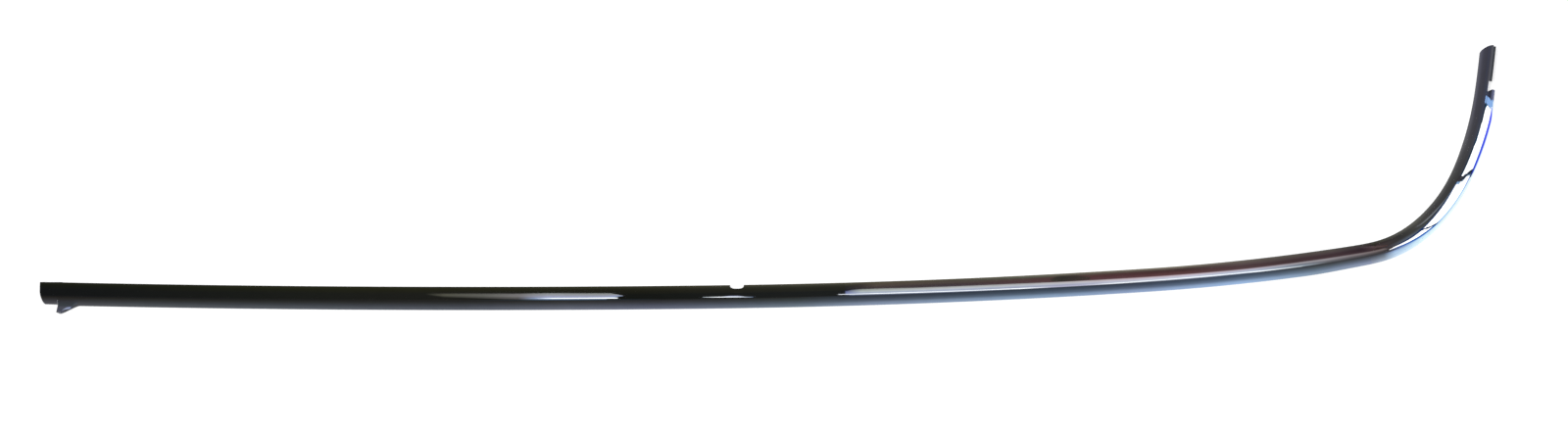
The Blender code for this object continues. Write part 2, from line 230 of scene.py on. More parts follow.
def section_rows(size, ends, leg_scale):
    """The section's rows: arc length, place across, height and direction.

    They lie close together where the section curves, and where the flange starts beside the round edge. Three rows
    lie exactly at the crest, at the gap's inner side and at the edge of the tongue's strip.
    """
    knots, slopes = section_knots(size)
    along, across, height, way = walk(knots, slopes, size.inner_lip)
    counts = (2, 5, 3, 14, 18, 11, 9, 24, 9, 3)
    powers = (1, 1, 1, 1, 1.4, 1, 1, 1, 1, 1)
    runs = zip(knots[:-1], knots[1:], counts, powers)
    places = [a + (b - a) * np.linspace(0, 1, n, endpoint=False) ** power for a, b, n, power in runs]
    rows = np.concatenate(places + [[knots[-1]]])
    over = (along >= knots[4]) & (along <= knots[8])
    crest = np.interp(knots[7], along, across)
    for place in (crest - ends.tongue_relief_depth / leg_scale, crest + ends.tongue_strip / leg_scale):
        exact = np.interp(place, across[over], along[over])
        rows[np.argmin(np.abs(rows - exact))] = exact
    return rows, np.interp(rows, along, across), np.interp(rows, along, height), np.interp(rows, along, way), crest


def path_table(path, step=0.00025):
    """Stations, points and headings of the inner edge: the arcs' curvature, averaged over the easing, summed twice."""
    names = ("belt", "rise", "shoulder", "bend", "elbow", "leg", "tip")
    ends = np.cumsum([getattr(path, name + "_length") for name in names])
    bends = np.array([1 / getattr(path, name + "_radius") for name in names])
    reach = np.arange(-path.easing, ends[-1] + path.easing + step, step)
    which = np.clip(np.searchsorted(ends, reach, side="right"), 0, len(ends) - 1)
    turned = np.concatenate([[0.0], np.cumsum(bends[which[:-1]] * step)])
    along = np.arange(0, ends[-1] + step, step)
    half = path.easing / 2
    bend = (np.interp(along + half, reach, turned) - np.interp(along - half, reach, turned)) / path.easing
    heading = path.start_heading + np.concatenate([[0], np.cumsum((bend[1:] + bend[:-1]) / 2 * step)])
    x = np.concatenate([[0], np.cumsum((np.cos(heading[1:]) + np.cos(heading[:-1])) / 2 * step)])
    y = np.concatenate([[0], np.cumsum((np.sin(heading[1:]) + np.sin(heading[:-1])) / 2 * step)])
    return along, x, y, heading


def path_marks(path):
    """Where the bend starts, and the whole length of the inner edge."""
    bend_start = path.belt_length + path.rise_length + path.shoulder_length
    return bend_start, bend_start + path.bend_length + path.elbow_length + path.leg_length + path.tip_length


def ease(station, start, over):
    """Goes smoothly from 0 at a station to 1 further on: t squared times (3 - 2 t)."""
    t = np.clip((station - start) / over, 0.0, 1.0)
    return t * t * (3 - 2 * t)


def scale_at(station, path):
    """The section's size: full along the belt, least in the bend, a little more along the leg."""
    bend_start, whole = path_marks(path)
    narrowed = (1 - path.narrow_scale) * ease(station, bend_start - path.narrow_before, path.narrow_over)
    widened = (path.leg_scale - path.narrow_scale) * ease(station, whole - path.widen_before, path.widen_over)
    return 1 - narrowed + widened


def taken_back(share_across, long, power):
    """How far a rounded corner is taken back, from 0 at its start across to the full length at its side."""
    inside = np.clip(share_across, 0.0, 1.0) ** power
    return long * (1 - (1 - inside) ** (1 / power))


EASED = 0.012  # Length over which the columns are pushed on or drawn back before a rounded end
SLIT_MARGIN = 0.002  # How far before the slit the left end's rounding has run out
CLOSE = 1e-6  # Stations nearer than this are the same


def columns(path, ends):
    """Stations of the columns, exactly at each cut and closer together where something happens."""
    bend_start, whole = path_marks(path)
    nose = whole - ends.tongue_length
    slit = ends.ear_start - ends.ear_slit
    half = ends.notch_width / 2
    spans = [
        (0.0, slit, 14),
        (slit, ends.ear_start, 1),
        (ends.ear_start, ends.ear_peak, 8),
        (ends.ear_peak, ends.ear_end, 18),
        (ends.ear_end, ends.notch_at - half, 90),
        (ends.notch_at - half, ends.notch_at + half, 24),
        (ends.notch_at + half, bend_start - path.easing, 80),
        (bend_start - path.easing, nose - ends.nose_length, 90),
        (nose - ends.nose_length, nose - ends.dome_length, 10),
        (nose - ends.dome_length, nose, 14),
        (nose, nose + ends.tongue_relief, 5),
        (nose + ends.tongue_relief, whole - EASED, 8),
        (whole - EASED, whole - ends.tongue_strip_short, 12),
        (whole - ends.tongue_strip_short, whole, 2),
    ]
    places = [np.linspace(a, b, n, endpoint=False) for a, b, n in spans]
    return np.concatenate(places + [[whole]])


def opened_sections(rows, size, ends, depths):
    """Places across and heights of the rows where the outer wall is bent out by each depth.

    Past the ear's root, the wall's directions turn towards the ear's slope, and then the lip's do as well. The opening
    for a depth is read from a table of how far the section reaches at each opening.
    """
    knots, slopes = section_knots(size)
    along, across, height, way = walk(knots, slopes, size.inner_lip, 1500)

    def opened(openings):
        wall = np.minimum(1.0, 2 * openings)[:, None]
        lip = np.maximum(0.0, 2 * openings - 1)[:, None]
        part = np.where(way >= -size.bead_slope - 1e-6, wall, lip)
        turned = np.where(way < -ends.ear_slope, way + (-ends.ear_slope - way) * part, way)
        step = along[1] - along[0]
        middle = (turned[:, 1:] + turned[:, :-1]) / 2
        start = np.zeros((len(openings), 1))
        out = size.inner_lip + np.hstack([start, np.cumsum(np.cos(middle) * step, axis=1)])
        up = np.hstack([start, np.cumsum(np.sin(middle) * step, axis=1)])
        return out, up

    table = np.linspace(0, 1, 101)
    reach = opened(table)[0].max(axis=1)
    openings = np.interp(across.max() + depths, reach, table)
    out, up = opened(openings)
    spot = np.searchsorted(along, rows).clip(1, len(along) - 1)
    part = (rows - along[spot - 1]) / (along[spot] - along[spot - 1])

    def at_rows(grid):
        return grid[:, spot - 1] * (1 - part) + grid[:, spot] * part

    return at_rows(out), at_rows(up)


def strip_surface(size, path, ends):
    """The outer face as arrays: points (columns by rows), stations, rows' arc lengths and which faces are there.

    A point is the path's point at its station, moved to the right of the heading by its place across times the
    section's size there, and raised by its height times the same size. Near a rounded end or corner, the stations of
    each row are drawn back or pushed on, so that the last ones lie on the cut.
    """
    whole = path_marks(path)[1]
    nose = whole - ends.tongue_length
    rows, across0, height0, way, crest = section_rows(size, ends, path.leg_scale)
    at = columns(path, ends)
    width = across0.max()
    column = at[:, None]
    station = np.repeat(column, len(rows), axis=1)
    across = np.repeat(across0[None], len(at), axis=0)
    height = np.repeat(height0[None], len(at), axis=0)
    top = way < math.pi / 4
    beyond = np.maximum(0.0, across0 - crest) / (width - crest)

    # The ear, bent out behind its slit
    in_ear = (at > ends.ear_start - CLOSE) & (at < ends.ear_end)
    before = (ends.ear_peak - at) / (ends.ear_peak - ends.ear_start)
    after = (ends.ear_end - at) / (ends.ear_end - ends.ear_peak)
    rising = ends.ear_depth + (ends.ear_corner_depth - ends.ear_depth) * before
    falling = ends.ear_depth * (after + (1 - np.cos(np.pi * after)) / 2) / 2
    depth = np.where(at <= ends.ear_peak, rising, falling)
    out, up = opened_sections(rows, size, ends, depth[in_ear])
    root = way < -ends.ear_slope
    across[np.ix_(in_ear, root)] = out[:, root]
    height[np.ix_(in_ear, root)] = up[:, root]
    ahead = np.zeros_like(across)
    ahead[np.ix_(in_ear, root)] = -ends.ear_slant * np.maximum(0.0, out[:, root] - width) / ends.ear_depth

    # The flare of the inner edge, the drawn-in bead and the domed nose
    flange_end = across0[np.searchsorted(rows, section_knots(size)[0][5])]
    weight = np.where(top, (flange_end - across0) / flange_end, 1 - across0 / size.inner_lip)
    weight = np.clip(weight * 1.15, 0.0, 1.0) * (across0 < flange_end)
    flare = -ends.flare * (1 - ease(column, ends.flare_length - ends.flare_step, ends.flare_step))
    flare = flare + ends.flare_level * np.maximum(0.0, 1 - column / ends.flare_length)
    across += flare * weight
    across -= ends.draw_in * beyond * (column < ends.ear_start - CLOSE)
    before_nose = column < nose + CLOSE
    across -= ends.nose_draw_in * beyond * ease(column, nose - ends.nose_length, ends.nose_length) * before_nose
    t = np.clip((column - nose + ends.dome_length) / (ends.dome_length + ends.nose_rise), 0.0, 1.0)
    drop = ends.dome_drop * np.minimum(1.0, 2 * beyond) * (1 - np.sqrt(1 - t * t)) * before_nose
    height -= drop * np.maximum(0.0, height - 2 * size.edge_radius)

    # The notch: the flange's rows are pressed outwards, behind the cut
    half = ends.notch_width / 2
    offset = np.abs(at - ends.notch_at)
    in_notch = offset < half + CLOSE
    corner = np.clip((offset - half + ends.notch_corner_length) / ends.notch_corner_length, 0.0, 1.0)
    cut = ends.notch_depth - ends.notch_corner_depth * (1 - np.sqrt(1 - corner**2))
    knots = section_knots(size)[0]
    flat = (rows > knots[4] - 1e-9) & (rows < knots[5] - 1e-9)
    first = across0[flat][0]
    pressed = cut[:, None] + (across0[None] - first) * (flange_end - cut[:, None]) / (flange_end - first)
    pressed_height = np.interp(pressed, across0[flat], height0[flat])
    spot = np.ix_(in_notch, flat)
    across[spot] = np.maximum(pressed[spot], first)
    height[spot] = pressed_height[spot]

    # Rounded ends, along the strip
    start = width - ends.draw_in - ends.end_round_depth
    back = taken_back((across - start) / ends.end_round_depth, ends.end_round_length, ends.rounding_power)
    rounded_over = ends.ear_start - ends.ear_slit - SLIT_MARGIN
    station += back * np.clip(1 - column / rounded_over, 0.0, 1.0)
    crease = crest * path.leg_scale - ends.tongue_relief_depth
    bead = width * path.leg_scale - crease
    place = np.clip((across * path.leg_scale - crease) / bead, 0.0, 1.0)
    rise = ends.nose_rise * np.sin(math.pi * place**ends.nose_lean)
    station += rise * np.clip((column - nose + EASED) / EASED, 0.0, 1.0) * before_nose
    inner = (ends.tongue_round_width - across * path.leg_scale) / ends.tongue_round_width
    back = taken_back(inner, ends.tongue_round_length, ends.rounding_power)
    station -= back * np.clip((column - whole + EASED) / EASED, 0.0, 1.0)

    along, x, y, heading = path_table(path)
    turn = np.interp(station, along, heading)
    scale = scale_at(station, path)
    points = np.stack(
        [
            np.interp(station, along, x) + across * scale * np.sin(turn) + ahead * np.cos(turn),
            np.interp(station, along, y) - across * scale * np.cos(turn) + ahead * np.sin(turn),
            height * scale,
        ],
        axis=-1,
    )

    # Which faces are there
    middle = ((at[1:] + at[:-1]) / 2)[:, None]
    row = np.arange(len(rows) - 1)[None]
    ear_row = np.argmax(way < -ends.ear_root)
    slit = (middle > ends.ear_start - ends.ear_slit) & (middle < ends.ear_start) & (row >= ear_row)
    notch = (np.abs(middle - ends.notch_at) < half) & (row < np.argmax(flat))
    crease_row = np.argmin(np.abs(across0 - crease / path.leg_scale) + 1.0 * (rows < knots[5]))
    crest_row = np.argmin(np.abs(rows - knots[7]))
    strip_row = np.argmin(np.abs(across0 - crest - ends.tongue_strip / path.leg_scale) + 1.0 * (rows > knots[8]))
    gap = (middle > nose) & (middle < nose + ends.tongue_relief) & (row >= crease_row)
    past = (middle > nose) & (row >= strip_row)
    short = (middle > whole - ends.tongue_strip_short) & (row >= crest_row)
    return points, station, rows, ~(slit | notch | gap | past | short)


def grid_mesh(name, points, present, coordinates=None, layer_name="strip"):
    """A mesh of four-sided faces over a grid of points, with only the faces that are present."""
    count = points.shape[1]
    column, row = np.nonzero(present)
    corner = column * count + row
    faces = np.stack([corner, corner + 1, corner + count + 1, corner + count], axis=1)
    used, index = np.unique(faces, return_inverse=True)
    faces = index.reshape(faces.shape)
    mesh = bpy.data.meshes.new(name)
    mesh.vertices.add(len(used))
    mesh.vertices.foreach_set("co", points.reshape(-1, 3)[used].ravel().astype(np.float32))
    mesh.loops.add(faces.size)
    mesh.loops.foreach_set("vertex_index", faces.ravel().astype(np.int32))
    mesh.polygons.add(len(faces))
    mesh.polygons.foreach_set("loop_start", np.arange(0, faces.size, 4, dtype=np.int32))
    mesh.update(calc_edges=True)
    mesh.validate()
    if coordinates is not None:
        layer = mesh.uv_layers.new(name=layer_name)
        layer.data.foreach_set("uv", coordinates.reshape(-1, 2)[used][faces.ravel()].ravel().astype(np.float32))
    mesh.shade_smooth()
    return mesh


def place_in_scene(name, mesh, material):
    obj = bpy.data.objects.new(name, mesh)
    bpy.context.scene.collection.objects.link(obj)
    mesh.materials.append(material)
    return obj


class Nodes:
    """Builds one material's nodes: add() makes a node and links its inputs."""

    def __init__(self, name):
        self.material = bpy.data.materials.new(name)
        self.material.use_nodes = True
        self.tree = self.material.node_tree
        self.shader = self.tree.nodes["Principled BSDF"]
        self.output = self.tree.nodes["Material Output"]

    def add(self, kind, inputs=None, **values):
        node = self.tree.nodes.new(kind)
        for key, value in values.items():
            setattr(node, key, value)
        for key, value in (inputs or {}).items():
            self.set(node, key, value)
        return node

    def set(self, node, key, value):
        if isinstance(value, bpy.types.NodeSocket):
            self.tree.links.new(value, node.inputs[key])
        else:
            node.inputs[key].default_value = value

    def ramp(self, factor, stops):
        """A colour ramp: stops are (position, colour)."""
        node = self.add("ShaderNodeValToRGB", {"Fac": factor})
        elements = node.color_ramp.elements
        while len(elements) < len(stops):
            elements.new(0.5)
        for element, (position, values) in zip(elements, stops):
            element.position = position
            element.color = (*values, 1.0)
        return node.outputs["Color"]

    def range(self, value, low, high):
        """Maps 0 to 1 onto low to high."""
        node = self.add("ShaderNodeMapRange", {"Value": value, "To Min": low, "To Max": high})
        return node.outputs["Result"]


def polished_sheet(finish):
    """Bright metal: fine streaks along the strip in its roughness, slow waves from rolling, and a few dull spots."""
    make = Nodes("polished_sheet")
    at = make.add("ShaderNodeUVMap", uv_map="strip").outputs["UV"]

    def pattern(scale, detail, stretch):
        place = make.add("ShaderNodeMapping", {"Vector": at, "Scale": stretch}).outputs["Vector"]
        return make.add(
            "ShaderNodeTexNoise", {"Vector": place, "Scale": scale, "Detail": detail, "Roughness": 0.6}
        ).outputs["Fac"]

    streaks = pattern(1.0, 4.0, (30.0, 2600.0, 1.0))
    spots = pattern(1.0, 3.0, (90.0, 260.0, 1.0))
    waves = pattern(1.0, 1.0, (16.0, 160.0, 1.0))
    fine = pattern(1.0, 2.0, (500.0, 900.0, 1.0))
    low = tuple(channel * 0.93 for channel in finish.metal)
    make.set(make.shader, "Base Color", make.ramp(spots, [(0.3, low), (0.62, tuple(finish.metal))]))
    make.set(make.shader, "Metallic", 1.0)
    rough = make.range(streaks, finish.roughness * 0.6, finish.roughness * 1.4)
    dull = make.ramp(spots, [(0.58, (0.0, 0.0, 0.0)), (0.75, (0.05, 0.05, 0.05))])
    both = make.add("ShaderNodeMath", {0: rough, 1: dull}, operation="ADD").outputs["Value"]
    make.set(make.shader, "Roughness", both)
    slow = make.add("ShaderNodeBump", {"Height": waves, "Strength": 1.0, "Distance": finish.waves}).outputs["Normal"]
    bump = make.add(
        "ShaderNodeBump", {"Height": fine, "Strength": 0.4, "Distance": 0.000001, "Normal": slow}
    ).outputs["Normal"]
    make.set(make.shader, "Normal", bump)
    return make.material


class MOULDING_OT_strip(bpy.types.Operator):
    """Makes the bright strip as one smooth sheet and puts it in the place of the plain solid"""

    bl_idname = "moulding.strip"
    bl_label = "Moulding strip"

    def execute(self, context):
        size, path, ends, finish = settings(context)
        points, station, rows, present = strip_surface(size, path, ends)
        coordinates = np.stack([station, np.repeat(rows[None], len(station), axis=0)], axis=-1)
        mesh = grid_mesh("moulding_skin", points, present, coordinates)
        skin = place_in_scene("moulding_skin", mesh, polished_sheet(finish))
        wall = skin.modifiers.new("sheet", "SOLIDIFY")
        wall.thickness = size.sheet
        wall.offset = -1.0
        wall.use_even_offset = True
        wall.use_quality_normals = True
        context.view_layer.update()
        skin.data = bpy.data.meshes.new_from_object(skin.evaluated_get(context.evaluated_depsgraph_get()))
        skin.modifiers.clear()
        spots = np.empty(len(skin.data.vertices) * 3)
        skin.data.vertices.foreach_get("co", spots)
        spots = spots.reshape(-1, 3)
        low, high = spots.min(axis=0), spots.max(axis=0)
        middle = (low + high) / 2
        skin.data.transform(Matrix.Translation((-middle[0], -middle[1], -low[2])))
        skin.data.shade_smooth()
        skin.data.set_sharp_from_angle(angle=math.radians(40))
        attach(skin, "root")
        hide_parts(NODE)
        return {"FINISHED"}


def camera_place(stage):
    return np.array([stage.picture_x, stage.picture_y, stage.camera_height])


def section_spots(size):
    """Slope, place across and height along five pieces of the section, in the order of growing slope.

    They are the round inner edge, the inner half with the flange and the hollow, the outer half with the crest and the
    bead, the ear and the ear's round tip. The ear is flat, so each of its places is given a slope of its own: down by
    17 degrees at its root, and by 0.147 degrees more for each millimetre outwards.
    """
    knots, slopes = section_knots(size)
    along, across, height, way = walk(knots, slopes, size.inner_lip)
    edge = (along >= knots[3]) & (along <= knots[4])
    inner = (along >= knots[4]) & (along <= knots[6])
    outer = (along >= knots[6]) & (along <= knots[9]) & (way > -math.radians(89))
    table = np.array([way, across, height])
    root, outside, root_height, fall = 0.0144, 0.033, 0.0072, math.tan(math.radians(18))
    place = np.linspace(outside, root, 9)
    ear = np.array([np.radians(-17 - (place - root) * 147), place, root_height - (place - root) * fall])
    tip = np.array([np.radians([-89, -40]), [0.0273, 0.0262], [0.0026, 0.0036]])
    pieces = {"edge": table[:, edge][:, ::-1], "inner": table[:, inner], "outer": table[:, outer][:, ::-1]}
    return {**pieces, "ear": ear, "ear tip": tip}


FARTHEST = 0.13  # Distance of the farthest sheet from the strip, in m
FLOOR_MARGIN = 0.0003  # Height over the floor that a sinking sheet keeps


def mirrored(piece, stations, slopes, distance, scene):
    """Points that the camera sees mirrored in the strip, at these stations and slopes of one piece of its section.

    The surface's normal leans by the slope towards the inner edge. The sight line is turned about it: its direction
    minus twice its share along the normal, times the normal. The place is the strip's point plus a length times that.
    The length is the distance, or less for a line that sinks towards the floor: the distance over 1 plus the farthest
    sheet's distance over the way down to the floor. So no sheet reaches the floor, and their order stays the same.
    """
    path = scene.moulding_path
    along, x, y, heading = path_table(path)
    inside = np.clip(stations, 0.0, along[-1])
    turn = np.interp(inside, along, heading)
    zero = np.zeros_like(turn)
    forward = np.stack([np.cos(turn), np.sin(turn), zero], axis=-1)
    inward = np.stack([-np.sin(turn), np.cos(turn), zero], axis=-1)
    way, across, height = section_spots(scene.moulding_section)[piece]
    scale = scale_at(inside, path)
    raised = np.interp(slopes, way, height) * scale
    spot = np.stack([np.interp(inside, along, x), np.interp(inside, along, y), raised], axis=-1)
    aside = np.interp(slopes, way, across) * scale
    spot = spot - inward * aside[..., None] + forward * (stations - inside)[..., None]
    spot = spot - strip_middle() * (1.0, 1.0, 0.0)
    lean = slopes[..., None]
    normal = inward * np.sin(lean) + np.array([0.0, 0.0, 1.0]) * np.cos(lean)
    sight = spot - camera_place(scene.moulding_stage)
    sight /= np.linalg.norm(sight, axis=-1, keepdims=True)
    turned = sight - 2 * (sight * normal).sum(axis=-1, keepdims=True) * normal
    sinking = np.maximum(-turned[..., 2], 0.0) / (raised - FLOOR_MARGIN)
    return spot + turned * (distance / (1 + FARTHEST * sinking))[..., None]


def tone(red, green, blue, times=1.0):
    """The light that looks like a picture's colour, 0 to 255, when the metal mirrors it.

    It is made brighter by one number, or by one number each for red, green and blue.
    """
    share_of_full = np.array([red, green, blue]) / 255
    light = np.where(share_of_full > 0.04045, ((share_of_full + 0.055) / 1.055) ** 2.4, share_of_full / 12.92)
    return tuple(light * times / bpy.context.scene.moulding_finish.metal)


MIX_A, MIX_B, MIX_RESULT = 6, 7, 2  # The Mix node's sockets for colours


def shades(make, columns):
    """A colour over a sheet: columns are (place along, stops across), each running into the next one."""
    place = make.add("ShaderNodeSeparateXYZ", {"Vector": make.add("ShaderNodeUVMap", uv_map="sheet").outputs["UV"]})
    result = None
    for at, stops in columns:
        tones = [(spot, tone(*values)) for spot, values in stops]
        column = make.ramp(place.outputs["Y"], tones if len(tones) > 1 else tones * 2)
        if result is None:
            result = column
        else:
            between = {"Value": place.outputs["X"], "From Min": before, "From Max": at}
            part = make.add("ShaderNodeMapRange", between).outputs["Result"]
            mix = make.add("ShaderNodeMix", {"Factor": part}, data_type="RGBA")
            make.tree.links.new(previous, mix.inputs[MIX_A])
            make.tree.links.new(column, mix.inputs[MIX_B])
            result = mix.outputs[MIX_RESULT]
        before, previous = at, result
    return result


def only_mirrored(obj):
    """The object is seen only in mirrors: it neither shows itself nor lights or shades anything."""
    obj.visible_camera = False
    obj.visible_diffuse = False
    obj.visible_transmission = False
    obj.visible_volume_scatter = False
    obj.visible_shadow = False


class PaintedReflection(NamedTuple):
    """A painted reflection: a smooth glowing panel, no lamp, seen only in the metal."""

    name: str
    piece: str  # the piece of the section that mirrors it
    distance: float  # from the strip, in mm
    first: tuple  # one edge, (station in mm, slope in degrees)
    second: tuple  # the other edge
    columns: tuple  # (place along, stops of (place across, colour from 0 to 255, and times as bright))


def lengthwise(*tones):
    """Columns of one colour each, from (place along, colour)."""
    return tuple((place, ((0.0, values),)) for place, values in tones)


def crosswise(*stops):
    """A single column, from (place across, colour)."""
    return ((0.0, stops),)


def faded(walls, fade):
    """Columns of colours, (place along, colour), that all fade alike, by (place across, share of the light)."""
    return tuple((place, tuple((spot, (*values, times)) for spot, times in fade)) for place, values in walls)


# Colours of the painted reflections: white highlights, reflected bars and lines
WHITE = (255, 255, 255, 1.5)
BAR_BLUE = (25, 50, 100)
BAR_DARK = (50, 50, 60)
DEEP_TEAL = (5, 40, 60)
TEAL = (30, 90, 130)
NOSE_BLUE = (140, 180, 235)
LINE = (245, 250, 255)
